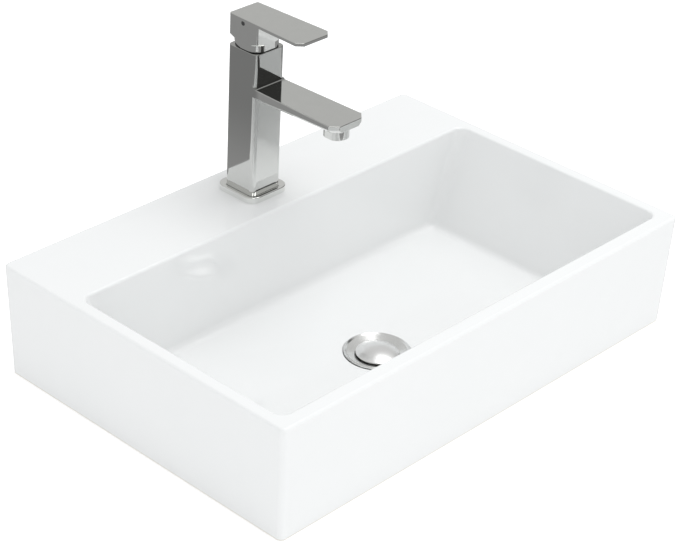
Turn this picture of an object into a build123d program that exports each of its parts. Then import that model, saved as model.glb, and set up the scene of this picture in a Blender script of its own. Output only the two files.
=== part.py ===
from build123d import *
import math
import os

# Basin, measured on the fired piece
basin_width = 600.0
basin_depth = 400.0
basin_height = 130.0
side_draft = 5.0
front_draft = 3.0
outer_corner_radius = 6.0
outer_edge_radius = 3.0
inner_edge_radius = 3.0

# Bowl: rim widths at the top, run of each wall down to the floor
side_rim = 14.0
front_rim = 17.8
tap_ledge = 103.0
side_wall_run = 48.5
end_wall_run = 6.2
bowl_corner_radius = 12.0
floor_edge_height = 19.2
floor_edge_fillet = 9.0
ledge_thickness = 12.0
skirt_thickness = 10.0
bowl_wall = 9.5
hollow_corner_radius = 8.0
pocket_top = 84.0
pocket_wall = 12.4
pocket_reach = 5.0

# Waste: dished flange, threaded tail and what clamps it
drain_y = -45.0
drain_floor_height = 12.5
drain_floor_radius = 46.0
waste_hole_radius = 23.0
recess_radius = 36.0
recess_depth = 1.5
seat_radius = 37.2
seat_step = 1.2
seat_slope = 0.307
gasket_thickness = 1.5
flange_radius = 36.0
flange_thickness = 1.6
flange_bead = 0.8
bead_width = 1.6
bead_foot = 3.4
bead_foot_rise = 0.3
gasket_inset = 0.8
dish_inner_radius = 24.0
tail_radius = 20.955
tail_bore = 19.0
tail_length = 58.0
tail_groove_width = 2.5
tail_groove_depth = 1.0
thread_gap = 0.05
bridge_height = 4.0
bridge_depth = 34.0
bridge_hub_radius = 7.0
bridge_bar = 3.0
bridge_root = 0.5
lower_gasket_radius = 33.0
lower_gasket_thickness = 4.0
washer_radius = 31.0
washer_thickness = 1.5
back_nut_flats = 52.0
back_nut_height = 9.0

# Plug with its click mechanism
plug_radius = 23.0
plug_edge = 1.1
plug_dome = 6.0
plug_rim_radius = 0.5
plug_lift = 8.0
plug_boss_height = 4.6
seal_thickness = 2.1
seal_bevel = 0.8
seal_outer = 21.5
seal_inner = 17.0
seal_contact_radius = 20.5
rest_gap = 0.3
sleeve_radius = 8.5
sleeve_bore = 6.3
sleeve_wall = 3.0
sleeve_lip = 1.5
sleeve_below_boss = 3.5
lift_reserve = 1.5
plunger_radius = 4.25
plunger_head = 4.0
running_gap = 0.05
plug_screw_radius = 2.5
plug_screw_length = 4.0
plug_boss_radius = 7.0
sleeve_spigot_radius = 3.95
spring_wire = 0.5
spring_turns = 6.0
spring_radius = 5.3

# Tap on the ledge: heights are above the ledge
tap_setback = 52.0
tap_hole_radius = 17.5
column_width = 42.5
column_corner = 5.5
column_height = 170.5
column_edge_radius = 0.5
column_wall = 4.0
ring_width = 57.0
ring_corner = 12.0
ring_height = 7.0
ring_floor = 3.0
ring_groove = 4.0
ring_groove_low = 5.2
ring_gap = 0.3
ring_edge_radius = 1.2
base_seal_inner = 19.2
base_seal_outer = 22.8
base_seal_thickness = 1.5
seal_groove_gap = 0.2

# Spout
spout_top = 132.0
spout_length = 138.0
spout_cut = 8.0
spout_width = 48.0
spout_root_side = 9.5
spout_root_bevel = 5.0
spout_tip_side = 4.5
spout_tip_bevel = 4.0
spout_root_fillet = 1.2
spout_edge_radius = 0.8
root_depth = 3.0
channel_width = 14.0
channel_height = 5.0
channel_roof = 2.5

# Aerator under the tip
aerator_inset = 19.0
aerator_thread = 11.95
aerator_collar = 13.4
aerator_flats = 24.8
aerator_drop = 13.5
aerator_thread_length = 3.0
aerator_insert_radius = 10.2
aerator_insert_wall = 1.6
aerator_lip = 1.0
aerator_edge_radius = 0.4
aerator_space = 1.0
aerator_seal_thickness = 1.2
spot_gap = 0.3
mesh_thickness = 1.5
mesh_hole_radius = 0.75
mesh_pitch = 2.3
mesh_rings = 3

# Water ways and fixing
inlet_x = 8.0
inlet_y = 5.0
inlet_radius = 5.0
inlet_length = 16.0
water_radius = 3.5
outlet_y = -9.0
outlet_radius = 4.0
tube_radius = 4.95
tube_seat = 5.0
cavity_depth = 33.0
cavity_corner = 4.0
insert_height = 17.0
insert_gap = 0.05
spigot_radius = 16.5
spigot_drop = 8.0
spigot_gap = 0.5
stud_y = -9.5
stud_radius = 3.95
stud_engagement = 20.0
stud_length = 62.0
clamp_radius = 26.0
clamp_slot = 15.0
clamp_slot_start = -1.5
clamp_gasket_thickness = 3.0
clamp_plate_thickness = 2.5
stud_nut_flats = 13.0
stud_nut_height = 6.5
stud_nut_gap = 0.05
stud_hole_gap = 0.35

# Cartridge: depths are below the column's rim
chamber_depth = 24.5
chamber_gap = 0.1
cartridge_radius = 17.5
cartridge_bore = 14.5
cartridge_neck = 16.2
shoulder_depth = 10.0
cartridge_depth = 4.0
cartridge_lid = 2.5
cartridge_floor = 3.7
port_seal_thickness = 0.8
port_seal_width = 1.4
port_seal_gap = 0.1
nut_radius = 18.95
nut_bore = 16.4
nut_notches = 6
nut_notch = 3.0
nut_notch_depth = 2.0
nut_notch_inset = 1.2
nut_drop = 0.2
fixed_disc_thickness = 3.6
fixed_disc_gap = 0.2
disc_port_step = 0.5
disc_gap = 0.05
moving_disc_thickness = 3.4
moving_disc_radius = 9.5
moving_disc_offset = 2.65
mixing_pocket_width = 9.5
mixing_pocket_depth = 8.5
mixing_pocket_height = 1.5
carrier_thickness = 2.6
carrier_boss_radius = 4.0
carrier_boss_height = 2.6
socket_radius = 2.75
ball_radius = 2.4
rotor_flange_radius = 14.2
rotor_flange_gap = 0.3
rotor_neck_radius = 11.65
rotor_top_rise = 5.0
lid_gap = 0.1
slot_half_width = 4.6
slot_front = 10.0
slot_back = 7.5

# Lever pivot, dome cap and handle: rises are above the column's rim
pivot_rise = 7.5
arm_length = 17.0
stem_width = 8.0
stem_drop = 3.6
stem_eye_radius = 5.5
arm_radius = 2.0
arm_root = 2.0
pin_radius = 2.0
pin_half_length = 11.2
dome_radius = 18.2
dome_wall = 1.3
dome_top_rise = 10.0
dome_skirt = 3.0
dome_root = 0.6
slip_ring_thickness = 0.5
slip_ring_inset = 0.8
slip_ring_bore = 17.2
hub_width = 41.0
hub_gap = 0.6
hub_neck_corner = 14.0
hub_corner = 2.5
hub_neck_height = 7.0
hub_flare_height = 3.8
handle_rise = 35.5
lever_thickness = 3.6
lever_length = 105.3
lever_tip_width = 47.0
lever_cut = 6.5
handle_edge_radius = 0.8
dome_clearance = 0.5
handle_boss_radius = 6.8
handle_boss_rise = 14.0
stem_socket_gap = 0.05
stem_top_gap = 0.4
tilt_range = 18.0
tilt_clearance = 0.3
relief_depth = 5.0
grub_drop = 2.4
grub_radius = 2.5
grub_gap = 0.05
grub_tip_gap = 0.02
grub_length = 8.5
plug_cover_thickness = 2.0
plug_cover_sink = 0.1

# Sizes that follow from the ones above
half_width = basin_width / 2
half_depth = basin_depth / 2
bowl_half_width = half_width - side_rim
bowl_front = -half_depth + front_rim
bowl_back = half_depth - tap_ledge
bowl_depth_y = bowl_back - bowl_front
bowl_centre_y = (bowl_back + bowl_front) / 2
bowl_wall_height = basin_height - floor_edge_height
hollow_front = bowl_back + bowl_wall
hollow_back = half_depth - front_draft - skirt_thickness
hollow_half_width = half_width - side_draft - skirt_thickness
tap_y = half_depth - tap_setback
chamber_floor = column_height - chamber_depth
shoulder_height = column_height - shoulder_depth
cartridge_top = column_height - cartridge_depth
cavity_top = chamber_floor - cavity_depth
pivot_height = column_height + pivot_rise
handle_top = column_height + handle_rise
stem_top = handle_top - stem_drop
stem_socket_top = stem_top + stem_top_gap
grub_height = stem_top - grub_drop
column_half = column_width / 2
column_front = tap_y - column_half
spout_reach_y = tap_y - spout_length
aerator_y = spout_reach_y + aerator_inset
spout_back = tap_y - column_half + column_corner
gasket_low = recess_depth - lower_gasket_thickness
washer_low = gasket_low - washer_thickness
nut_low = washer_low - back_nut_height
channel_top = spout_top - channel_roof
channel_low = channel_top - channel_height
chamber_radius = cartridge_radius + chamber_gap
thread_bore = nut_radius + thread_gap
cavity_width = column_width - 2 * column_wall
insert_top = ring_floor + insert_height
hub_bottom = column_height + slip_ring_thickness + hub_gap
lever_front = tap_y + hub_width / 2 - lever_length
aerator_seat = basin_height + spout_top - spout_tip_side - spout_tip_bevel
aerator_thread_top = aerator_seat + aerator_thread_length
above_everything = 20.0
past = 1.0
near = 0.01

LOW = (Align.CENTER, Align.CENTER, Align.MIN)


def level(height):
    """Height above the ledge as a height above the counter."""
    return basin_height + height


def plan(width, depth, radius, z, x=0.0, y=0.0):
    """Rounded rectangle lying level at z."""
    return Pos(x, y, z) * RectangleRounded(width, depth, radius)


def prism(width, depth, radius, low, high, x=0.0, y=0.0):
    """Upright block with rounded corners between two heights."""
    return extrude(plan(width, depth, radius, low, x, y), high - low)


def rod(radius, low, high, x=0.0, y=0.0):
    """Upright cylinder between two heights."""
    return Pos(x, y, low) * Cylinder(radius, high - low, align=LOW)


def tube(outer, inner, low, high, x=0.0, y=0.0):
    """Upright tube between two heights."""
    return rod(outer, low, high, x, y) - rod(inner, low, high, x, y)


def hexagon(flats, low, high, x=0.0, y=0.0):
    """Upright hexagonal bar, given across its flats."""
    face = Pos(x, y, low) * RegularPolygon(flats / math.sqrt(3), 6)
    return extrude(face, high - low)


def cross_rod(radius, x_low, x_high, y, z):
    """Cylinder lying along X between two places."""
    middle = (x_low + x_high) / 2
    return Pos(middle, y, z) * Rot(0, 90, 0) * Cylinder(radius, x_high - x_low)


def turned(points, x=0.0, y=0.0):
    """Solid turned about an upright axis, from a list of radius and height."""
    outline = Polyline(*[(r, 0, z) for r, z in points], close=True)
    return Pos(x, y, 0) * revolve(make_face(outline), Axis.Z)


def side_profile(points, half_span, y=0.0):
    """Block cut from a Y and Z outline and as wide as twice half_span."""
    outline = Polyline(*[(-half_span, y_value, z) for y_value, z in points], close=True)
    return extrude(make_face(outline), 2 * half_span, dir=(1, 0, 0))


def bowl_plan(z):
    """Outline of the bowl at a height, for walls that slope inwards."""
    share = (basin_height - z) / bowl_wall_height
    width = 2 * (bowl_half_width - side_wall_run * share)
    depth = bowl_depth_y - 2 * end_wall_run * share
    return plan(width, depth, bowl_corner_radius, z, 0, bowl_centre_y)


def bowl_space():
    """The space inside the bowl: four sloping walls over a floor that falls to the drain."""
    walls = loft([bowl_plan(floor_edge_height), bowl_plan(basin_height + above_everything)])
    drain_width = 2 * drain_floor_radius
    flat = plan(drain_width, drain_width, drain_floor_radius - past, drain_floor_height, 0, drain_y)
    floor = loft([flat, bowl_plan(floor_edge_height)], ruled=True)
    space = walls + floor
    on_edge = [e for e in space.edges() if abs(e.center().Z - floor_edge_height) < near]
    return fillet(on_edge, floor_edge_fillet)


def side_pocket(side):
    """Hollow between the skirt and the sloping side wall, open below."""
    inner_low = bowl_half_width - side_wall_run + pocket_wall
    share = (pocket_top - floor_edge_height) / bowl_wall_height
    inner_high = inner_low + side_wall_run * share
    points = [
        (inner_low, -past), (inner_low, floor_edge_height), (inner_high, pocket_top),
        (hollow_half_width, pocket_top), (hollow_half_width, -past),
    ]
    front = -half_depth + front_draft + skirt_thickness
    outline = Polyline(*[(side * x, front, z) for x, z in points], close=True)
    return extrude(make_face(outline), hollow_front + pocket_reach - front, dir=(0, 1, 0))


def seat_height(radius):
    """Height of the ceramic seat under the waste flange."""
    return drain_floor_height - seat_step - (seat_radius - radius) * seat_slope


def make_basin():
    """Fired in one piece: skirt, bowl, tap ledge with its hole, hollow below the ledge."""
    foot = plan(basin_width - 2 * side_draft, basin_depth - 2 * front_draft, outer_corner_radius, 0)
    top = plan(basin_width, basin_depth, outer_corner_radius, basin_height)
    block = loft([foot, top])
    block = fillet(block.faces().sort_by(Axis.Z)[-1].edges(), outer_edge_radius)
    block -= bowl_space()
    rim = block.faces().filter_by(Plane.XY).sort_by(Axis.Z)[-1]
    block = fillet(rim.inner_wires()[0].edges(), inner_edge_radius)
    hollow_depth = hollow_back - hollow_front
    block -= prism(2 * hollow_half_width, hollow_depth, hollow_corner_radius, -past,
                   level(-ledge_thickness), 0, (hollow_front + hollow_back) / 2)
    for side in (-1, 1):
        block -= side_pocket(side)
    block -= rod(tap_hole_radius, level(-ledge_thickness - past), level(past), 0, tap_y)
    block -= rod(recess_radius, -past, recess_depth, 0, drain_y)
    seat = [
        (0, -past), (waste_hole_radius, -past), (waste_hole_radius, seat_height(waste_hole_radius)),
        (seat_radius, seat_height(seat_radius)), (seat_radius, basin_height), (0, basin_height),
    ]
    return block - turned(seat, 0, drain_y)


def dish_height(radius):
    """Height of the flange's upper face inside its dish."""
    return seat_height(radius) + gasket_thickness + flange_thickness


def make_waste_body():
    """Turned flange and tail with a cross bridge for the click mechanism, grooved below the nut."""
    rim_low = seat_height(flange_radius) + gasket_thickness
    rim_top = rim_low + flange_thickness
    tail_under = seat_height(tail_radius) + gasket_thickness
    bead_inside = flange_radius - bead_foot
    groove_radius, groove_low = tail_radius - tail_groove_depth, nut_low - tail_groove_width
    outline = [
        (tail_bore, -tail_length), (tail_radius, -tail_length), (tail_radius, groove_low),
        (groove_radius, groove_low), (groove_radius, nut_low), (tail_radius, nut_low),
        (tail_radius, tail_under),
        (flange_radius, rim_low), (flange_radius, rim_top),
        (flange_radius - bead_width, rim_top + flange_bead),
        (bead_inside, dish_height(bead_inside) + bead_foot_rise),
        (dish_inner_radius, dish_height(dish_inner_radius)), (tail_bore, dish_height(tail_bore)),
    ]
    body = turned(outline, 0, drain_y)
    low = -bridge_depth
    span = 2 * (tail_bore + bridge_root)
    for turn in (0, 90):
        bar = Box(span, bridge_bar, bridge_height, align=LOW)
        body += Pos(0, drain_y, low) * Rot(0, 0, turn) * bar
    body += rod(bridge_hub_radius, low, low + bridge_height, 0, drain_y)
    hole = sleeve_spigot_radius + thread_gap
    return body - rod(hole, low - past, low + bridge_height + past, 0, drain_y)


def make_upper_gasket():
    """Soft washer between flange and ceramic seat."""
    inner = dish_inner_radius
    outer = flange_radius - gasket_inset
    points = [
        (inner, seat_height(inner)), (outer, seat_height(outer)),
        (outer, seat_height(outer) + gasket_thickness), (inner, seat_height(inner) + gasket_thickness),
    ]
    return turned(points, 0, drain_y)


def make_back_nut():
    """Hexagonal nut on the tail, under the washer."""
    hole = rod(tail_radius + thread_gap, nut_low - past, washer_low + past, 0, drain_y)
    return hexagon(back_nut_flats, nut_low, washer_low, 0, drain_y) - hole


seal_low = dish_height(seal_contact_radius) + rest_gap
plug_underside = seal_low + seal_thickness
sleeve_low = -bridge_depth + bridge_height
sleeve_inner_low = sleeve_low + sleeve_wall
plug_boss_low = plug_underside - plug_boss_height
sleeve_top = plug_boss_low - sleeve_below_boss
plunger_head_top = sleeve_top - sleeve_lip - plug_lift - lift_reserve
plunger_head_low = plunger_head_top - plunger_head


def make_click_sleeve():
    """Guide sleeve of the click mechanism, screwed into the bridge."""
    body = rod(sleeve_radius, sleeve_low, sleeve_top, 0, drain_y)
    body += rod(sleeve_spigot_radius, -bridge_depth, sleeve_low, 0, drain_y)
    body -= rod(sleeve_bore, sleeve_inner_low, sleeve_top - sleeve_lip, 0, drain_y)
    lip_low = sleeve_top - sleeve_lip
    return body - rod(plunger_radius + running_gap, lip_low - past, sleeve_top + past, 0, drain_y)


def make_plunger():
    """Sliding plunger: head inside the sleeve, screw end in the plug."""
    body = rod(sleeve_bore - running_gap, plunger_head_low, plunger_head_top, 0, drain_y)
    body += rod(plunger_radius, plunger_head_top, plug_boss_low, 0, drain_y)
    return body + rod(plug_screw_radius, plug_boss_low, plug_boss_low + plug_screw_length, 0, drain_y)


def make_plug_spring():
    """Coil spring between the sleeve's floor and the plunger's head."""
    length = plunger_head_low - sleeve_inner_low - 2 * spring_wire
    start = sleeve_inner_low + spring_wire
    path = Helix(length / spring_turns, length, spring_radius)
    section = Plane(path @ 0, z_dir=path % 0) * Circle(spring_wire)
    return Pos(0, drain_y, start) * sweep(section, path=path)


def make_plug_cap():
    """Domed plug with a boss for the plunger's screw end."""
    edge_top = plug_underside + plug_edge
    crown = edge_top + plug_dome
    with BuildSketch(Plane.XZ) as half:
        with BuildLine():
            Polyline((0, plug_boss_low), (plug_boss_radius, plug_boss_low),
                     (plug_boss_radius, plug_underside), (plug_radius, plug_underside),
                     (plug_radius, edge_top))
            rise = crown - edge_top
            bend = (plug_radius ** 2 + rise ** 2) / (2 * rise)
            RadiusArc((plug_radius, edge_top), (0, crown), -bend)
            Line((0, crown), (0, plug_boss_low))
        make_face()
    body = revolve(half.sketch, Axis.Z)
    level_edges = [e for e in body.edges() if abs(e.center().Z - edge_top) < near]
    body = fillet([e for e in level_edges if e.radius > plug_radius - near], plug_rim_radius)
    body = Pos(0, drain_y, 0) * body
    top = plug_boss_low + plug_screw_length
    return body - rod(plug_screw_radius, plug_boss_low - past, top, 0, drain_y)


def make_plug_seal():
    """Rubber ring under the plug, just above the dish."""
    points = [
        (seal_inner, seal_low), (seal_contact_radius, seal_low), (seal_outer, seal_low + seal_bevel),
        (seal_outer, plug_underside), (seal_inner, plug_underside),
    ]
    return turned(points, 0, drain_y)


def spout_section(y, width, side, bevel):
    """Upright section of the spout: flat top, two sides, two bevels, flat underside."""
    top = level(spout_top)
    half = width / 2
    points = [
        (half, top), (half, top - side), (half - bevel, top - side - bevel),
        (bevel - half, top - side - bevel), (-half, top - side), (-half, top),
    ]
    return make_face(Polyline(*[(x, y, z) for x, z in points], close=True))


def make_spout():
    """Flat spout that widens towards a tip with cut corners."""
    tip_width = spout_width - 2 * spout_cut
    sections = [
        spout_section(spout_back, column_width, spout_root_side, spout_root_bevel),
        spout_section(spout_reach_y + spout_cut, spout_width, spout_tip_side, spout_tip_bevel),
        spout_section(spout_reach_y, tip_width, spout_tip_side, spout_tip_bevel),
    ]
    body = loft(sections, ruled=True)
    ahead = [e for e in body.edges() if e.center().Y < spout_back - past]
    return fillet(ahead, spout_edge_radius)


def spout_root():
    """Hollow curve from the column's front down on to the spout."""
    top = level(spout_top)
    reach = spout_root_fillet
    with BuildSketch(Plane.YZ.offset(-column_half)) as side:
        with BuildLine():
            Polyline((column_front - reach, top), (column_front - reach, top - root_depth),
                     (spout_back, top - root_depth), (spout_back, top + reach), (column_front, top + reach))
            RadiusArc((column_front, top + reach), (column_front - reach, top), reach)
        make_face()
    return extrude(side.sketch, column_width)


def make_tap_body():
    """Column and spout cast in one, bored for the cartridge, the water and the aerator."""
    foot, rim = level(ring_floor), level(column_height)
    body = prism(column_width, column_width, column_corner, foot, rim, 0, tap_y)
    body = fillet(body.faces().sort_by(Axis.Z)[-1].edges(), column_edge_radius)
    body += make_spout() + spout_root()
    body -= rod(chamber_radius, level(chamber_floor), rim + past, 0, tap_y)
    body -= rod(thread_bore, level(shoulder_height), rim + past, 0, tap_y)
    body -= prism(cavity_width, cavity_width, cavity_corner, foot - past, level(cavity_top), 0, tap_y)
    for side in (-1, 1):
        x, y = side * inlet_x, tap_y + inlet_y
        body -= rod(water_radius, level(cavity_top - past), level(chamber_floor + past), x, y)
        body -= rod(tube_radius + insert_gap, level(cavity_top - past), level(cavity_top + tube_seat), x, y)
    port_y = tap_y + outlet_y
    body -= rod(outlet_radius, level(channel_top - past), level(chamber_floor + past), 0, port_y)
    channel_length = port_y + outlet_radius - aerator_y
    channel = Box(channel_width, channel_length, channel_height, align=LOW)
    body -= Pos(0, aerator_y + channel_length / 2, level(channel_low)) * channel
    spot_low = aerator_seat - spout_root_side
    body -= rod(aerator_collar + spot_gap, spot_low, aerator_seat, 0, aerator_y)
    socket_top = aerator_thread_top + aerator_seal_thickness
    return body - rod(aerator_thread + thread_gap, spot_low, socket_top, 0, aerator_y)


def make_aerator_housing():
    """Screwed collar with two spanner flats."""
    low = aerator_seat - aerator_drop
    collar = rod(aerator_collar, low, aerator_seat, 0, aerator_y)
    collar &= Pos(0, aerator_y, low) * Box(aerator_flats, 4 * aerator_collar, aerator_drop, align=LOW)
    body = fillet(collar.edges().filter_by(Plane.XY), aerator_edge_radius)
    body += rod(aerator_thread, aerator_seat, aerator_thread_top, 0, aerator_y)
    bore = aerator_insert_radius + insert_gap
    return body - rod(bore, low - past, aerator_thread_top + aerator_space, 0, aerator_y)


def make_aerator_insert():
    """Plastic insert whose lower end is a holed disc."""
    low = aerator_seat - aerator_drop + aerator_lip
    outer = aerator_insert_radius
    body = tube(outer, outer - aerator_insert_wall, low, aerator_thread_top, 0, aerator_y)
    body += rod(outer, low, low + mesh_thickness, 0, aerator_y)
    holes = rod(mesh_hole_radius, low - past, low + mesh_thickness + past, 0, aerator_y)
    for ring in range(1, mesh_rings + 1):
        for step in range(6 * ring):
            angle = 2 * math.pi * step / (6 * ring)
            x = ring * mesh_pitch * math.cos(angle)
            y = aerator_y + ring * mesh_pitch * math.sin(angle)
            holes += rod(mesh_hole_radius, low - past, low + mesh_thickness + past, x, y)
    return body - holes


def make_aerator_seal():
    """Flat washer above the aerator's thread."""
    low, high = aerator_thread_top, aerator_thread_top + aerator_seal_thickness
    return tube(aerator_thread, aerator_insert_radius, low, high, 0, aerator_y)


def make_base_ring():
    """Square trim ring whose top falls inwards to the column's foot."""
    body = prism(ring_width, ring_width, ring_corner, level(0), level(ring_height), 0, tap_y)
    body = fillet(body.faces().sort_by(Axis.Z)[-1].edges(), ring_edge_radius)
    hollows = []
    for gap, height in ((ring_gap, ring_groove_low), (ring_groove, ring_height)):
        side = column_width + 2 * gap
        hollows.append(plan(side, side, column_corner + gap, level(height), 0, tap_y))
    body -= loft(hollows)
    body -= extrude(hollows[0], ring_floor - ring_groove_low)
    body -= rod(spigot_radius + spigot_gap, level(-past), level(ring_height), 0, tap_y)
    outer, inner = base_seal_outer + seal_groove_gap, base_seal_inner - seal_groove_gap
    return body - tube(outer, inner, level(-past), level(base_seal_thickness), 0, tap_y)


def make_base_seal():
    """Rubber ring between trim ring and ledge."""
    return tube(base_seal_outer, base_seal_inner, level(0), level(base_seal_thickness), 0, tap_y)


def make_mounting_insert():
    """Brass block in the column's foot: hose inlets, tube seats and the stud's thread."""
    side = cavity_width - 2 * insert_gap
    body = prism(side, side, cavity_corner - insert_gap, level(ring_floor), level(insert_top), 0, tap_y)
    body += rod(spigot_radius, level(-spigot_drop), level(ring_floor), 0, tap_y)
    for hand in (-1, 1):
        x, y = hand * inlet_x, tap_y + inlet_y
        body -= rod(inlet_radius, level(-spigot_drop - past), level(inlet_length - spigot_drop), x, y)
        body -= rod(water_radius, level(0), level(insert_top + past), x, y)
        body -= rod(tube_radius + insert_gap, level(insert_top - tube_seat), level(insert_top + past), x, y)
    hole = stud_radius + thread_gap
    high = level(stud_engagement - spigot_drop)
    return body - rod(hole, level(-spigot_drop - past), high, 0, tap_y + stud_y)


def make_supply_tubes():
    """Two tubes from the inlets up to the cartridge chamber."""
    low = level(insert_top - tube_seat)
    high = level(cavity_top + tube_seat)
    pair = [tube(tube_radius, water_radius, low, high, hand * inlet_x, tap_y + inlet_y) for hand in (-1, 1)]
    return Compound(children=pair)


def make_stud():
    """Threaded stud that pulls the tap down on to the ledge."""
    high = level(stud_engagement - spigot_drop)
    return rod(stud_radius, high - stud_length, high, 0, tap_y + stud_y)


def clamp_shape(radius, low, high):
    """Horseshoe with a slot for the hoses and a hole for the stud."""
    body = rod(radius, low, high, 0, tap_y)
    slot = Box(2 * clamp_slot, 2 * radius, 2 * (high - low), align=(Align.CENTER, Align.MIN, Align.CENTER))
    body -= Pos(0, tap_y + clamp_slot_start, (low + high) / 2) * slot
    return body - rod(stud_radius + stud_hole_gap, low - past, high + past, 0, tap_y + stud_y)


def make_stud_nut():
    """Nut under the horseshoe plate."""
    high = level(-ledge_thickness - clamp_gasket_thickness - clamp_plate_thickness)
    low = high - stud_nut_height
    y = tap_y + stud_y
    hole = rod(stud_radius + stud_nut_gap, low - past, high + past, 0, y)
    return hexagon(stud_nut_flats, low, high, 0, y) - hole


def port_places():
    """Ports of the cartridge: two inlets and one outlet, each with its radius."""
    sides = [(hand * inlet_x, tap_y + inlet_y, water_radius) for hand in (-1, 1)]
    return sides + [(0, tap_y + outlet_y, outlet_radius)]


cartridge_low = chamber_floor + port_seal_thickness
fixed_disc_low = cartridge_low + cartridge_floor
fixed_disc_top = fixed_disc_low + fixed_disc_thickness
moving_disc_low = fixed_disc_top + disc_gap
moving_disc_top = moving_disc_low + moving_disc_thickness
carrier_top = moving_disc_top + carrier_thickness
lid_low = cartridge_top - cartridge_lid


def make_cartridge_seals():
    """Rubber rings under the cartridge, one round each port."""
    low, high = level(chamber_floor), level(cartridge_low)
    rings = []
    for x, y, r in port_places():
        rings.append(tube(r + port_seal_width, r + port_seal_gap, low, high, x, y))
    return Compound(children=rings)


def make_cartridge_body():
    """Plastic housing of the cartridge, clamped at its shoulder."""
    body = rod(cartridge_radius, level(cartridge_low), level(shoulder_height), 0, tap_y)
    body += rod(cartridge_neck, level(shoulder_height), level(cartridge_top), 0, tap_y)
    body -= rod(cartridge_bore, level(fixed_disc_low), level(lid_low), 0, tap_y)
    body -= rod(rotor_neck_radius + running_gap, level(lid_low - past), level(cartridge_top + past), 0, tap_y)
    for x, y, r in port_places():
        body -= rod(r, level(cartridge_low - past), level(fixed_disc_low + past), x, y)
    return body


def make_fixed_disc():
    """Ceramic disc that stays still, with one hole for each port."""
    outer = cartridge_bore - fixed_disc_gap
    body = rod(outer, level(fixed_disc_low), level(fixed_disc_top), 0, tap_y)
    for x, y, r in port_places():
        body -= rod(r - disc_port_step, level(fixed_disc_low - past), level(fixed_disc_top + past), x, y)
    return body


def make_moving_disc():
    """Ceramic disc that slides and turns, with a mixing pocket below."""
    y = tap_y + moving_disc_offset
    body = rod(moving_disc_radius, level(moving_disc_low), level(moving_disc_top), 0, y)
    pocket = Box(mixing_pocket_width, mixing_pocket_depth, mixing_pocket_height, align=LOW)
    return body - Pos(0, y, level(moving_disc_low)) * pocket


def make_disc_carrier():
    """Plastic carrier on the moving disc, with a socket for the stem's ball."""
    y = tap_y + moving_disc_offset
    boss_top = carrier_top + carrier_boss_height
    body = rod(moving_disc_radius, level(moving_disc_top), level(carrier_top), 0, y)
    body += rod(carrier_boss_radius, level(carrier_top), level(boss_top), 0, tap_y)
    floor = pivot_height - arm_length - ball_radius - rest_gap
    return body - rod(socket_radius, level(floor), level(boss_top + past), 0, tap_y)


def make_rotor():
    """Turning core of the cartridge, slotted for the stem and the carrier's boss."""
    low = carrier_top + rotor_flange_gap
    top = pivot_height + rotor_top_rise
    step = lid_low - lid_gap
    body = rod(rotor_flange_radius, level(low), level(step), 0, tap_y)
    body += rod(rotor_neck_radius, level(step), level(top), 0, tap_y)
    slot = Box(2 * slot_half_width, slot_front + slot_back, 2 * (top - low))
    body -= Pos(0, tap_y + (slot_back - slot_front) / 2, level((top + low) / 2)) * slot
    reach = rotor_flange_radius
    return body - cross_rod(pin_radius, -reach, reach, tap_y, level(pivot_height))


def make_stem():
    """Steel stem: square top for the handle, eye for the pin, arm and ball below."""
    body = cross_rod(stem_eye_radius, -stem_width / 2, stem_width / 2, tap_y, level(pivot_height))
    shaft = Box(stem_width, stem_width, stem_top - pivot_height, align=LOW)
    body += Pos(0, tap_y, level(pivot_height)) * shaft
    body += rod(arm_radius, level(pivot_height - arm_length), level(pivot_height - arm_root), 0, tap_y)
    body += Pos(0, tap_y, level(pivot_height - arm_length)) * Sphere(ball_radius)
    return body - cross_rod(pin_radius + running_gap, -stem_width, stem_width, tap_y, level(pivot_height))


def make_nut():
    """Threaded ring that clamps the cartridge, notched for its spanner."""
    high = column_height - nut_drop
    body = tube(nut_radius, nut_bore, level(shoulder_height), level(high), 0, tap_y)
    for step in range(nut_notches):
        notch = Pos(nut_radius, 0, 0) * Box(2 * nut_notch_inset, nut_notch, 2 * nut_notch_depth)
        body -= Pos(0, tap_y, level(high)) * Rot(0, 0, 360 * step / nut_notches) * notch
    return body


def make_dome_cap():
    """Thin dome over the cartridge, round about the lever's pivot, pushed into the nut."""
    centre = Pos(0, tap_y, level(pivot_height))
    body = centre * (Sphere(dome_radius) - Sphere(dome_radius - dome_wall))
    low = level(column_height)
    high = level(pivot_height + dome_top_rise)
    body &= rod(2 * dome_radius, low, high, 0, tap_y)
    skirt_outer = nut_bore - insert_gap
    return body + tube(skirt_outer, skirt_outer - dome_wall, low - dome_skirt, low + dome_root, 0, tap_y)


def make_slip_ring():
    """Black ring on the column's rim, the dark line below the handle."""
    side = hub_width - 2 * slip_ring_inset
    low, high = level(column_height), level(column_height + slip_ring_thickness)
    body = prism(side, side, hub_neck_corner - slip_ring_inset, low, high, 0, tap_y)
    return body - rod(slip_ring_bore, low - past, high + past, 0, tap_y)


def handle_hub():
    """Hub: rounded neck that opens into a square block."""
    neck_top = hub_bottom + hub_neck_height
    flare_top = neck_top + hub_flare_height
    body = prism(hub_width, hub_width, hub_neck_corner, level(hub_bottom), level(neck_top), 0, tap_y)
    body += loft([
        plan(hub_width, hub_width, hub_neck_corner, level(neck_top), 0, tap_y),
        plan(hub_width, hub_width, hub_corner, level(flare_top), 0, tap_y),
    ])
    roof = handle_top - lever_thickness / 2
    return body + prism(hub_width, hub_width, hub_corner, level(flare_top), level(roof), 0, tap_y)


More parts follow.
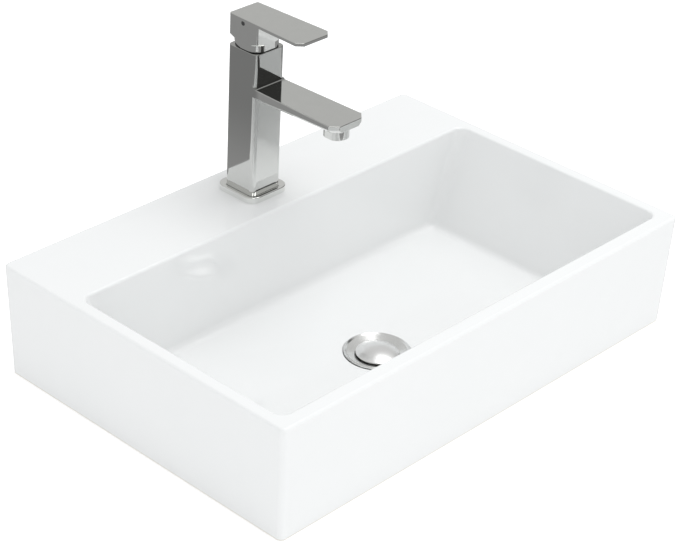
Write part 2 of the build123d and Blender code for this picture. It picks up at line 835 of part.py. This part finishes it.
def lever_plate():
    """Lever: flat plate that widens towards a tip with cut corners."""
    back = tap_y + hub_width / 2
    half_back, half_tip = hub_width / 2, lever_tip_width / 2
    points = [
        (-half_back, back), (-half_tip, lever_front + lever_cut), (lever_cut - half_tip, lever_front),
        (half_tip - lever_cut, lever_front), (half_tip, lever_front + lever_cut), (half_back, back),
    ]
    low = level(handle_top - lever_thickness)
    outline = make_face(Polyline(*[(x, y, low) for x, y in points], close=True))
    body = extrude(outline, lever_thickness)
    upright = body.edges().filter_by(Axis.Z)
    return fillet([e for e in upright if e.center().Y > tap_y], hub_corner)


def tilt_relief():
    """Wedge cut under the hub's back, so that it clears the column when the lever lifts."""
    angle = math.radians(tilt_range)
    drop = pivot_height - hub_bottom
    room = pivot_height - column_height - slip_ring_thickness - tilt_clearance
    flat_to = (room / math.cos(angle) - drop) / math.tan(angle)
    far = hub_width
    far_height = hub_bottom + (far - flat_to) * math.tan(angle)
    under = level(hub_bottom - relief_depth)
    points = [
        (tap_y + flat_to, level(hub_bottom)), (tap_y + far, level(far_height)),
        (tap_y + far, under), (tap_y + flat_to, under),
    ]
    return side_profile(points, hub_width)


def make_handle():
    """Hub and lever cast in one, hollow over the dome, with a boss for the stem."""
    body = handle_hub() + lever_plate()
    top = level(handle_top)
    body = fillet([e for e in body.edges() if abs(e.center().Z - top) < near], handle_edge_radius)
    inner = dome_radius + dome_clearance
    pivot = level(pivot_height)
    body -= Pos(0, tap_y, pivot) * Sphere(inner) + rod(inner, level(hub_bottom - past), pivot, 0, tap_y)
    body -= tilt_relief()
    roof = level(handle_top - lever_thickness)
    body += rod(handle_boss_radius, level(pivot_height + handle_boss_rise), roof, 0, tap_y)
    socket = stem_width + 2 * stem_socket_gap
    socket_low = pivot_height + handle_boss_rise - past
    hole = Box(socket, socket, stem_socket_top - socket_low, align=LOW)
    body -= Pos(0, tap_y, level(socket_low)) * hole
    return body - cross_rod(grub_radius + grub_gap, -hub_width, -stem_width / 2, tap_y, level(grub_height))


def make_grub_screw():
    """Screw that clamps the handle on the stem's flat."""
    tip = -stem_width / 2 - grub_tip_gap
    return cross_rod(grub_radius, tip - grub_length, tip, tap_y, level(grub_height))


def make_index_plug():
    """Small dark plug that closes the grub screw's hole."""
    face = -hub_width / 2 + plug_cover_sink
    return cross_rod(grub_radius, face, face + plug_cover_thickness, tap_y, level(grub_height))


def main():
    """Writes each piece as its own file."""
    tail_hole = tail_radius + rest_gap
    clamp_high = level(-ledge_thickness)
    clamp_mid = clamp_high - clamp_gasket_thickness
    pieces = {
        "basin": make_basin(),
        "waste_body": make_waste_body(),
        "waste_upper_gasket": make_upper_gasket(),
        "waste_lower_gasket": tube(lower_gasket_radius, tail_hole, gasket_low, recess_depth, 0, drain_y),
        "waste_washer": tube(washer_radius, tail_hole, washer_low, gasket_low, 0, drain_y),
        "waste_back_nut": make_back_nut(),
        "click_sleeve": make_click_sleeve(),
        "plug_plunger": make_plunger(),
        "plug_spring": make_plug_spring(),
        "plug_cap": make_plug_cap(),
        "plug_seal": make_plug_seal(),
        "tap_body": make_tap_body(),
        "base_ring": make_base_ring(),
        "base_seal": make_base_seal(),
        "mounting_insert": make_mounting_insert(),
        "supply_tubes": make_supply_tubes(),
        "mounting_stud": make_stud(),
        "horseshoe_gasket": clamp_shape(clamp_radius, clamp_mid, clamp_high),
        "horseshoe_plate": clamp_shape(clamp_radius - 1, clamp_mid - clamp_plate_thickness, clamp_mid),
        "stud_nut": make_stud_nut(),
        "aerator_housing": make_aerator_housing(),
        "aerator_insert": make_aerator_insert(),
        "aerator_seal": make_aerator_seal(),
        "cartridge_seals": make_cartridge_seals(),
        "cartridge_body": make_cartridge_body(),
        "fixed_disc": make_fixed_disc(),
        "moving_disc": make_moving_disc(),
        "disc_carrier": make_disc_carrier(),
        "cartridge_rotor": make_rotor(),
        "cartridge_nut": make_nut(),
        "cartridge_stem": make_stem(),
        "pivot_pin": cross_rod(pin_radius, -pin_half_length, pin_half_length, tap_y, level(pivot_height)),
        "dome_cap": make_dome_cap(),
        "slip_ring": make_slip_ring(),
        "handle": make_handle(),
        "grub_screw": make_grub_screw(),
        "index_plug": make_index_plug(),
    }
    os.makedirs("parts", exist_ok=True)
    for name, piece in pieces.items():
        piece.label = name
        export_step(piece, f"parts/{name}.step")


main()
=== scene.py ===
import math

import bpy
import numpy as np
from mathutils import Matrix

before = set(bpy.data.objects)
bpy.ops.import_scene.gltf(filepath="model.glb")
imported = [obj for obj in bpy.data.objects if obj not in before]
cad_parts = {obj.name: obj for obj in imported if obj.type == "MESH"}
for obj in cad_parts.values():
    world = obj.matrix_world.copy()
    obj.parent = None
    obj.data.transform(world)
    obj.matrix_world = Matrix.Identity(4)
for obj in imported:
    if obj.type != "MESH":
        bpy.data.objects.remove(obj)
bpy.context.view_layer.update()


# Basin. One hollow piece of vitreous china, slip cast in a plaster mould, sprayed with a white
# glaze and fired standing on its foot. The glaze is thick and even, and is wiped off the foot,
# which stays bare.

class Value:
    """A number that changes over a surface. Arithmetic on it adds Math nodes."""

    def __init__(self, finish, socket):
        self.finish = finish
        self.socket = socket

    def __add__(self, other):
        return self.finish.math_of("ADD", self, other)

    def __radd__(self, other):
        return self.finish.math_of("ADD", other, self)

    def __sub__(self, other):
        return self.finish.math_of("SUBTRACT", self, other)

    def __rsub__(self, other):
        return self.finish.math_of("SUBTRACT", other, self)

    def __mul__(self, other):
        return self.finish.math_of("MULTIPLY", self, other)

    def __rmul__(self, other):
        return self.finish.math_of("MULTIPLY", other, self)

    def __truediv__(self, other):
        return self.finish.math_of("DIVIDE", self, other)

    def step(self, start, end):
        """0 before start and 1 after end, with a smooth turn between them."""
        inputs = {"Value": self, "From Min": start, "From Max": end}
        return self.finish.node("ShaderNodeMapRange", {"interpolation_type": "SMOOTHSTEP"}, inputs)


class Finish:
    """One material, with the places and patterns that it is mixed from."""

    def __init__(self, name, **constants):
        self.material = bpy.data.materials.new(name)
        self.material.use_nodes = True
        self.tree = self.material.node_tree
        self.shader = self.tree.nodes["Principled BSDF"]
        for socket, value in constants.items():
            self.shader.inputs[socket].default_value = value
        self.place = self.node("ShaderNodeTexCoord", output="Object")
        split = self.node("ShaderNodeSeparateXYZ", {}, [self.place]).socket.node
        self.x, self.y, self.z = (Value(self, out) for out in split.outputs)

    def node(self, kind, settings=None, inputs=(), output=0):
        """Adds a node: its settings first, then the values or links of its sockets."""
        made = self.tree.nodes.new(kind)
        for name, value in (settings or {}).items():
            setattr(made, name, value)
        pairs = inputs.items() if isinstance(inputs, dict) else enumerate(inputs)
        for key, value in pairs:
            if isinstance(value, Value):
                self.tree.links.new(value.socket, made.inputs[key])
            else:
                made.inputs[key].default_value = value
        return Value(self, made.outputs[output])

    def math_of(self, operation, *values):
        """One Math node of these values."""
        return self.node("ShaderNodeMath", {"operation": operation}, values)

    def clouds(self, size, detail, stretch=None):
        """Noise from 0 to 1 whose spots are about that size in metres."""
        where = self.place
        if stretch:
            where = self.node("ShaderNodeVectorMath", {"operation": "MULTIPLY"}, [where, stretch])
        inputs = {"Vector": where, "Scale": 1 / size, "Detail": detail}
        return self.node("ShaderNodeTexNoise", {}, inputs)

    def thread(self, pitch, centre_y):
        """Ridges from 0 to 0.5 high that wind up an upright axis, one turn in each pitch."""
        turn = self.math_of("ARCTAN2", self.y - centre_y, self.x) / (2 * math.pi)
        return self.math_of("PINGPONG", self.z / pitch + turn, 0.5)

    def blend(self, share, first, second):
        """Colour that goes from the first to the second as share goes from 0 to 1."""
        mix = self.tree.nodes.new("ShaderNodeMix")
        mix.data_type = "RGBA"
        share_in, first_in, second_in = mix.inputs[0], mix.inputs[6], mix.inputs[7]
        self.tree.links.new(share.socket, share_in)
        for socket, colour in ((first_in, first), (second_in, second)):
            if isinstance(colour, Value):
                self.tree.links.new(colour.socket, socket)
            else:
                socket.default_value = (*colour, 1)
        return Value(self, mix.outputs[2])

    def relief(self, height, depth, under=None):
        """Bump of that depth in metres, over another one if given."""
        inputs = {"Height": height, "Distance": depth}
        if under is not None:
            inputs["Normal"] = under
        return self.node("ShaderNodeBump", {}, inputs)

    def set(self, **sockets):
        """Links what changes over the surface to the shader."""
        for name, value in sockets.items():
            self.tree.links.new(value.socket, self.shader.inputs[name.replace("_", " ")])
        return self.material


def dress(material, *nodes):
    """Gives CAD nodes this material."""
    for name in nodes:
        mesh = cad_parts[name].data
        mesh.materials.clear()
        mesh.materials.append(material)


def glaze():
    """White glaze: faint clouds in its colour, a soft wave and a fine skin in its surface."""
    cool_white = (0.836, 0.846, 0.844)
    warm_white = (0.853, 0.858, 0.855)
    bare_china = (0.74, 0.71, 0.65)
    glossy, less_glossy, bare_rough = 0.055, 0.03, 0.75

    finish = Finish("white_glaze", IOR=1.52)
    drift = finish.clouds(size=0.11, detail=3.0)
    colour = finish.blend(drift, cool_white, warm_white)
    bare = 1 - finish.z.step(start=0.0006, end=0.0016)
    grain = finish.clouds(size=0.0007, detail=4.0)
    colour = finish.blend(bare, colour, bare_china)
    rough = glossy + less_glossy * finish.clouds(size=0.03, detail=3.0)
    rough = rough + bare * (bare_rough - rough)
    wave = finish.relief(finish.clouds(size=0.045, detail=1.0), depth=0.0004)
    skin = finish.relief(finish.clouds(size=0.0035, detail=1.0), depth=0.000004, under=wave)
    skin = finish.relief(grain * bare, depth=0.0001, under=skin)
    return finish.set(Base_Color=colour, Roughness=rough, Normal=skin)


dress(glaze(), "basin")


# Tap. The column with its spout, the trim ring and the handle are brass castings, ground flat,
# polished and chrome plated, so their faces still have the slight waves of the polishing wheel.

def chrome(name, wave=0.02, tint=(0.72, 0.725, 0.71), smoothest=0.035, painted_top_shade=False):
    """Chrome plate: polished waves, faint wheel marks and a thin film of dried water.

    The column's one gets painted shade in its colour, darker up the column behind the spout. The
    spout, which stands out in front, does not."""
    under_film, painted_shade_dim, film_rough = 0.95, 0.66, 0.05

    finish = Finish(name, Metallic=1.0)
    film = finish.clouds(size=0.012, detail=5.0)
    colour = finish.blend(film, tint, tuple(c * under_film for c in tint))
    if painted_top_shade:
        # Painted shade: the chrome colour is dimmed up the column behind the spout, in place of a
        # darker reflection.
        behind_spout = finish.y.step(start=0.119, end=0.128)
        up_column = finish.z.step(start=0.14, end=0.25)
        colour = finish.blend(behind_spout * up_column, colour, tuple(c * painted_shade_dim for c in tint))
    rough = smoothest + film_rough * film
    waves = finish.relief(finish.clouds(size=wave, detail=1.0), depth=0.00004)
    wheel_marks = finish.clouds(size=0.0012, detail=2.0, stretch=(1.0, 1.0, 0.08))
    marks = finish.relief(wheel_marks, depth=0.0000006, under=waves)
    return finish.set(Base_Color=colour, Roughness=rough, Normal=marks)


dress(chrome("column_chrome", painted_top_shade=True), "tap_body")
dress(chrome("handle_chrome"), "handle")
dress(chrome("ring_chrome", wave=0.012, tint=(0.86, 0.865, 0.85)), "base_ring")


# Aerator collar and the cap over the cartridge. Both are turned from brass bar and chrome
# plated, with longer waves than the castings. The collar is screwed in, the cap pushed in.

dress(chrome("turned_chrome", wave=0.03), "aerator_housing", "dome_cap")


# Waste and plug. Both are turned brass with chrome plate. The tail below the counter is
# threaded for the back nut and the trap, with 11 turns to the inch.

def waste_chrome():
    """Chrome duller than the tap's, with the turns of the thread on the tail."""
    clean, dulled = (0.88, 0.885, 0.88), (0.80, 0.805, 0.80)
    smoothest, film_rough = 0.17, 0.08
    drain_y, tail_pitch = -0.045, 0.002309

    finish = Finish("waste_chrome", Metallic=1.0)
    film = finish.clouds(size=0.010, detail=4.0)
    colour = finish.blend(film, clean, dulled)
    on_tail = 1 - finish.z.step(start=0.004, end=0.006)
    thread = finish.relief(finish.thread(tail_pitch, drain_y) * on_tail, depth=0.0012)
    waves = finish.relief(finish.clouds(size=0.02, detail=1.0), depth=0.00003, under=thread)
    rough = smoothest + film_rough * film
    return finish.set(Base_Color=colour, Roughness=rough, Normal=waves)


dress(waste_chrome(), "waste_body")
dress(chrome("plug_chrome", wave=0.012, tint=(0.95, 0.95, 0.95), smoothest=0.26), "plug_cap")


# Brass pieces below the counter and inside the column. They are sawn and turned from bar,
# left bare, and have darkened a little in patches since.

def brass():
    """Bare brass: turning rings across its height and patches of brown tarnish."""
    fresh, tarnished = (0.72, 0.55, 0.27), (0.48, 0.33, 0.14)
    smoothest, tarnish_rough = 0.24, 0.22
    ring_density, ring_wobble, ring_depth = 900.0, 1.5, 0.00002

    finish = Finish("bare_brass", Metallic=1.0)
    tarnish = finish.clouds(size=0.009, detail=4.0).step(start=0.42, end=0.72)
    colour = finish.blend(tarnish, fresh, tarnished)
    pattern = {"Vector": finish.place, "Scale": ring_density, "Distortion": ring_wobble}
    rings = finish.node("ShaderNodeTexWave", {"bands_direction": "Z"}, pattern, output=1)
    rough = smoothest + tarnish_rough * tarnish
    return finish.set(Base_Color=colour, Roughness=rough, Normal=finish.relief(rings, ring_depth))


dress(brass(), "waste_back_nut", "stud_nut", "mounting_insert", "cartridge_nut", "plug_plunger")


# Supply tubes. Two drawn copper tubes with a dull brown skin, brighter in patches. They bring
# the hot and cold water up through the column from the insert to the cartridge.

def copper():
    """Drawn copper: streaks along the tube under a brown skin."""
    bright, brown = (0.80, 0.44, 0.27), (0.44, 0.22, 0.12)
    smoothest, skin_rough = 0.26, 0.20

    finish = Finish("drawn_copper", Metallic=1.0)
    skin = finish.clouds(size=0.014, detail=4.0, stretch=(1.0, 1.0, 0.35))
    streaks = finish.clouds(size=0.0008, detail=2.0, stretch=(1.0, 1.0, 0.03))
    colour = finish.blend(skin, bright, brown)
    rough = smoothest + skin_rough * skin
    drawn = finish.relief(streaks, depth=0.00001)
    return finish.set(Base_Color=colour, Roughness=rough, Normal=drawn)


dress(copper(), "supply_tubes")


# Steel pieces: the clamp's plate and stud, the cartridge's stem and pin, the grub screw and the
# plug's spring are stainless. The stud is threaded over its whole length.

def steel(name, pitch=0.0):
    """Stainless steel: fine scratches, and the turns of a thread if it has a pitch."""
    bright, dull = (0.58, 0.575, 0.56), (0.47, 0.465, 0.45)
    smoothest, worn_rough = 0.24, 0.18
    stud_y, thread_depth = 0.1385, 0.0008

    finish = Finish(name, Metallic=1.0)
    worn = finish.clouds(size=0.006, detail=3.0)
    scratches = finish.clouds(size=0.0006, detail=2.0, stretch=(1.0, 0.08, 1.0))
    colour = finish.blend(worn, bright, dull)
    normal = finish.relief(scratches, depth=0.000006)
    if pitch:
        normal = finish.relief(finish.thread(pitch, stud_y), thread_depth, under=normal)
    return finish.set(Base_Color=colour, Roughness=smoothest + worn_rough * worn, Normal=normal)


dress(steel("stainless"),
      "horseshoe_plate", "cartridge_stem", "pivot_pin", "grub_screw", "plug_spring")
dress(steel("threaded_steel", pitch=0.00125), "mounting_stud")


# Rubber rings and gaskets. Moulded black rubber, matt, with chalky dust from the mould. Each
# one lies between two harder pieces.

def rubber():
    """Black rubber with pale mould dust and a fine grain."""
    clean, dusty = (0.022, 0.022, 0.022), (0.060, 0.059, 0.056)
    smoothest, dust_rough = 0.62, 0.25

    finish = Finish("black_rubber")
    dust = finish.clouds(size=0.010, detail=5.0).step(start=0.45, end=0.8)
    colour = finish.blend(dust, clean, dusty)
    grain = finish.relief(finish.clouds(size=0.0006, detail=3.0), depth=0.00004)
    rough = smoothest + dust_rough * dust
    return finish.set(Base_Color=colour, Roughness=rough, Normal=grain)


dress(rubber(),
      "waste_upper_gasket", "waste_lower_gasket", "plug_seal", "base_seal",
      "horseshoe_gasket", "aerator_seal", "cartridge_seals")


# Plastic pieces: black washer, click sleeve, slip ring and screw cover, and the white
# cartridge parts and aerator insert. All are injection moulded with a finely eroded skin.

def plastic(name, light, shade):
    """Moulded plastic: a soft drift of colour and a fine eroded grain."""
    smoothest, drift_rough = 0.36, 0.16

    finish = Finish(name)
    drift = finish.clouds(size=0.012, detail=3.0)
    grain = finish.clouds(size=0.0005, detail=3.0)
    colour = finish.blend(drift, light, shade)
    rough = smoothest + drift_rough * drift
    eroded = finish.relief(grain, depth=0.00002)
    return finish.set(Base_Color=colour, Roughness=rough, Normal=eroded)


dress(plastic("black_plastic", light=(0.030, 0.030, 0.031), shade=(0.046, 0.046, 0.046)),
      "waste_washer", "click_sleeve", "slip_ring", "index_plug")
dress(plastic("white_plastic", light=(0.80, 0.80, 0.775), shade=(0.73, 0.725, 0.69)),
      "aerator_insert", "cartridge_body", "disc_carrier", "cartridge_rotor")


# Cartridge discs. Two plates of technical ceramic, lapped flat against each other, dense
# and cream coloured with faint grey speckles.

def disc_ceramic():
    """Lapped ceramic: cream with fine speckles, nearly polished."""
    cream, grey = (0.79, 0.77, 0.70), (0.62, 0.60, 0.55)
    smoothest, speckle_rough = 0.16, 0.10

    finish = Finish("lapped_ceramic", IOR=1.7)
    speckle = finish.clouds(size=0.0009, detail=3.0).step(start=0.5, end=0.75)
    colour = finish.blend(speckle, cream, grey)
    lapped = finish.relief(finish.clouds(size=0.0005, detail=2.0), depth=0.000002)
    rough = smoothest + speckle_rough * speckle
    return finish.set(Base_Color=colour, Roughness=rough, Normal=lapped)


dress(disc_ceramic(), "fixed_disc", "moving_disc")


# Camera. It looks down at the basin from the front left, as in the photograph, and is set up
# from the straight edges of the basin there.

def facing(right, up, back, place):
    """Matrix of an object at that place with its axes along three directions."""
    rows = [[right[i], up[i], back[i], place[i]] for i in range(3)]
    return Matrix(rows + [[0, 0, 0, 1]])


def unit(direction):
    """The same direction with a length of 1."""
    return direction / np.linalg.norm(direction)


world_up = (0, 0, 1)
target = np.array([0.02631, 0.03793, 0.0650])
distance = 2.3696
azimuth, elevation, roll = (math.radians(a) for a in (-47.81, 30.45, 3.04))
photo_width = 680
focal_pixels = 2207.7
sensor_width = 36.0

back = np.array([math.sin(azimuth) * math.cos(elevation),
                 -math.cos(azimuth) * math.cos(elevation), math.sin(elevation)])
level_right = unit(np.cross(world_up, back))
level_up = np.cross(back, level_right)
right = level_right * math.cos(roll) + level_up * math.sin(roll)
up = level_up * math.cos(roll) - level_right * math.sin(roll)

camera_data = bpy.data.cameras.new("camera")
camera_data.sensor_width = sensor_width
camera_data.lens = sensor_width * focal_pixels / photo_width
camera_data.clip_end = 100.0
camera = bpy.data.objects.new("camera", camera_data)
camera.matrix_world = facing(right, up, back, target + back * distance)
bpy.context.scene.collection.objects.link(camera)
bpy.context.scene.camera = camera


# Studio. A pale floor, an even white sky and one large soft light from the front and right.
# Polished metal mirrors a darker floor and sky, darkest low down in front and to the right.

def card(name, corners, colour, strength, **rays):
    """Flat stage piece through its corners, glowing, that only some kinds of ray can see."""
    mesh = bpy.data.meshes.new(name)
    mesh.from_pydata(corners, [], [tuple(range(len(corners)))])
    made = bpy.data.objects.new(name, mesh)
    bpy.context.scene.collection.objects.link(made)
    material = bpy.data.materials.new(name)
    material.use_nodes = True
    shader = material.node_tree.nodes["Principled BSDF"]
    shader.inputs["Base Color"].default_value = (*colour, 1)
    shader.inputs["Roughness"].default_value = 0.9
    shader.inputs["Specular IOR Level"].default_value = 0.0
    shader.inputs["Emission Color"].default_value = (1, 1, 1, 1)
    shader.inputs["Emission Strength"].default_value = strength
    mesh.materials.append(material)
    for ray in ("camera", "diffuse", "glossy", "shadow"):
        setattr(made, "visible_" + ray, rays.get(ray, False))


def square(half, z):
    """Corners of a level square at height z."""
    return [(-half, -half, z), (half, -half, z), (half, half, z), (-half, half, z)]


floor_half = 12
floor_z, mirrored_floor_z = -0.0002, -0.0003
pale, black = (0.8, 0.8, 0.8), (0.0, 0.0, 0.0)
floor_glow, mirrored_floor_glow = 0.42, 0.33
card("floor", square(floor_half, floor_z), pale, floor_glow,
     camera=True, diffuse=True, shadow=True)
card("dark_floor", square(floor_half, mirrored_floor_z), black, mirrored_floor_glow,
     glossy=True)

world = bpy.data.worlds.new("studio")
bpy.context.scene.world = world
world.use_nodes = True
tree = world.node_tree
tree.nodes.clear()


def sky_node(kind, inputs=(), **settings):
    """Adds a node to the world. Inputs are values, or nodes and sockets; None is left alone."""
    made = tree.nodes.new(kind)
    for name, value in settings.items():
        setattr(made, name, value)
    for key, value in enumerate(inputs):
        if isinstance(value, bpy.types.Node):
            value = value.outputs[0]
        if isinstance(value, bpy.types.NodeSocket):
            tree.links.new(value, made.inputs[key])
        elif value is not None:
            made.inputs[key].default_value = value
    return made


def sky_step(value, start, end):
    """0 before start and 1 after end, with a smooth turn between them."""
    inputs = (value, start, end)
    return sky_node("ShaderNodeMapRange", inputs, interpolation_type="SMOOTHSTEP")


def sky_math(operation, first, second):
    """One Math node of two values."""
    return sky_node("ShaderNodeMath", (first, second), operation=operation)


front_right = (0.66, -0.75, 0.0)
mirrored_bright, mirrored_dark = 0.58, 0.07
lighting, seen_by_camera = 0.86, 1.0
warm, cool, white = (1.0, 1.0, 0.985, 1), (0.98, 0.99, 1.0, 1), (1, 1, 1, 1)

direction = sky_node("ShaderNodeTexCoord").outputs[0]
height = sky_node("ShaderNodeSeparateXYZ", (direction,)).outputs["Z"]
to_front_right = sky_node("ShaderNodeVectorMath", (direction, front_right),
                          operation="DOT_PRODUCT").outputs["Value"]
low = sky_math("SUBTRACT", 1.0, sky_step(height, start=0.50, end=0.66))
dark = sky_math("MULTIPLY", low, sky_step(to_front_right, start=0.45, end=0.62))
shade = sky_node("ShaderNodeMix", (dark, None, mirrored_bright, mirrored_dark))
mirrored = sky_node("ShaderNodeBackground", (warm, shade))
sky = sky_node("ShaderNodeBackground", (cool, lighting))
seen = sky_node("ShaderNodeBackground", (white, seen_by_camera))
rays = sky_node("ShaderNodeLightPath").outputs
unseen = sky_node("ShaderNodeMixShader", (rays["Is Glossy Ray"], sky, mirrored))
shown = sky_node("ShaderNodeMixShader", (rays["Is Camera Ray"], unseen, seen))
sky_node("ShaderNodeOutputWorld", (shown,))

key_data = bpy.data.lights.new("key", "AREA")
key_data.shape = "RECTANGLE"
key_data.size = 2.2
key_data.size_y = 1.6
key_data.energy = 28.0
key = bpy.data.objects.new("key", key_data)
key_place = np.array([0.5, -0.7, 2.6])
toward = unit(target - key_place)
side = unit(np.cross(toward, world_up))
top = np.cross(side, toward)
key.matrix_world = facing(side, top, -toward, key_place)
bpy.context.scene.collection.objects.link(key)
bpy.context.scene.view_settings.view_transform = "Standard"
